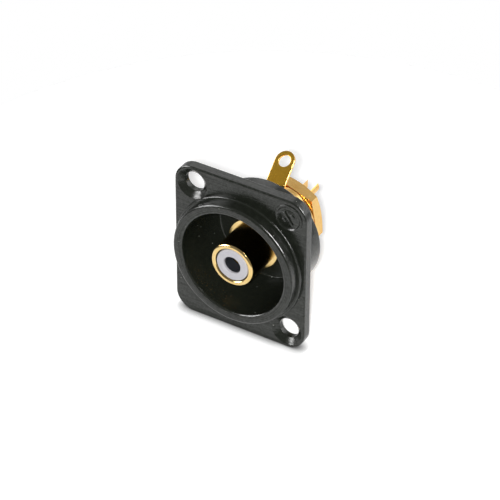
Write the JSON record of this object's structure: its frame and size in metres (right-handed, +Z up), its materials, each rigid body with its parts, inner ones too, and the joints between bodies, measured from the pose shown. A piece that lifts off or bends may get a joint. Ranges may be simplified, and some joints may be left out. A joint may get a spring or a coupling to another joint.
{
  "type": "rca panel socket",
  "caption": "Coaxial phono socket in a moulded panel flange, with a deep round recess, a ground tag and a hex nut behind.",
  "frame": {"origin": "on the socket's axis, in the plane of the panel face that the flange seats on", "axes": "+X to the right seen from the front, +Y into the panel along the socket's axis, +Z up; the socket faces -Y"},
  "size_m": [0.026, 0.0279, 0.031],
  "materials": {
    "black_nylon": "moulded, near black with a soft sheen",
    "gold_plate_turned": "bright gold plate over turned brass",
    "pale_insulator": "smooth pale plastic, slightly cool",
    "gold_plate_contact": "gold plate on the contact",
    "rear_insulator": "plain insulator",
    "gold_plate_sheet": "gold plate over stamped sheet",
    "gold_plate_hardware": "gold plate on washer and nut"
  },
  "bodies": {
    "root": {"housing": "black_nylon", "jack_shell": "gold_plate_turned", "front_insulator": "pale_insulator", "centre_contact": "gold_plate_contact", "rear_insulator": "rear_insulator", "ground_tag": "gold_plate_sheet", "flat_washer": "gold_plate_hardware", "hex_nut": "gold_plate_hardware"}
  },
  "joints": []
}
